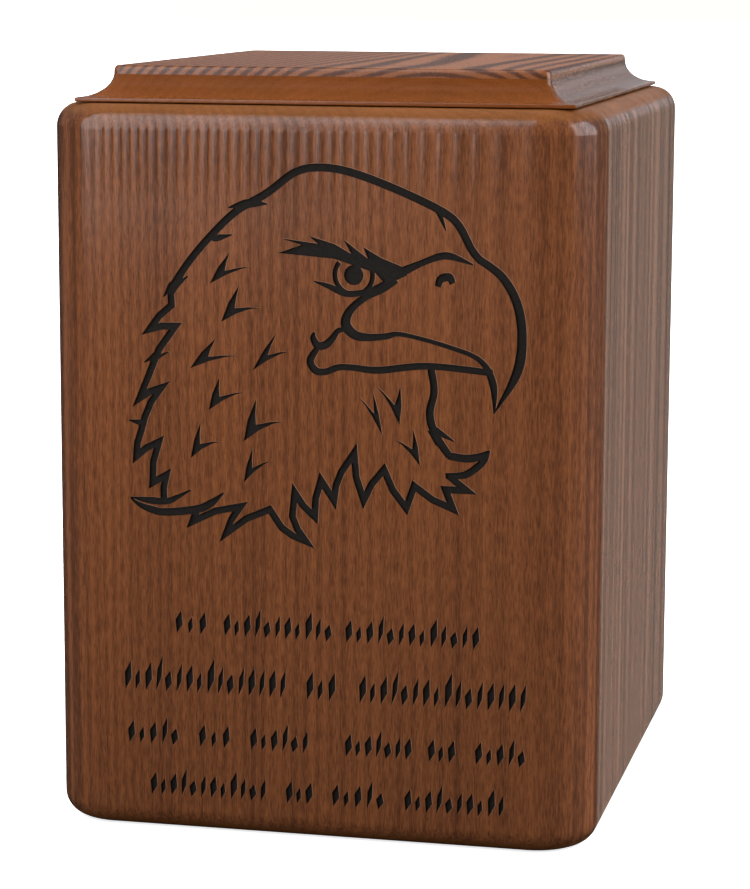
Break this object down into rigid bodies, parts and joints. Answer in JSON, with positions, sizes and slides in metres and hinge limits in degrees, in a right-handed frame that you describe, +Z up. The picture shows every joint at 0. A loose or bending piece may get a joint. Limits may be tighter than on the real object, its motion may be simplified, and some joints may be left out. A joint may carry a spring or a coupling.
{
  "type": "wooden cremation urn",
  "caption": "Box-shaped hollow wooden cremation urn with rounded edges, a moulded coved top plate, an engraved front and a screwed base panel.",
  "frame": {"origin": "middle of the underside, on the surface that the urn stands on", "axes": "+Z up; the engraved front faces -Y; +X to the right of someone who looks at the front"},
  "size_m": [0.165, 0.19, 0.2277],
  "materials": {
    "case_wood": "walnut stain under semi-gloss lacquer, upright grain",
    "plate_wood": "walnut stain under semi-gloss lacquer, level grain",
    "panel_wood": "walnut stain, thin satin sealer",
    "screw_brass": "satin brass"
  },
  "bodies": {
    "root": {"case": "case_wood", "top_plate": "plate_wood", "base_panel": "panel_wood", "base_screw_front_left": "screw_brass", "base_screw_front_right": "screw_brass", "base_screw_back_left": "screw_brass", "base_screw_back_right": "screw_brass"}
  },
  "joints": []
}
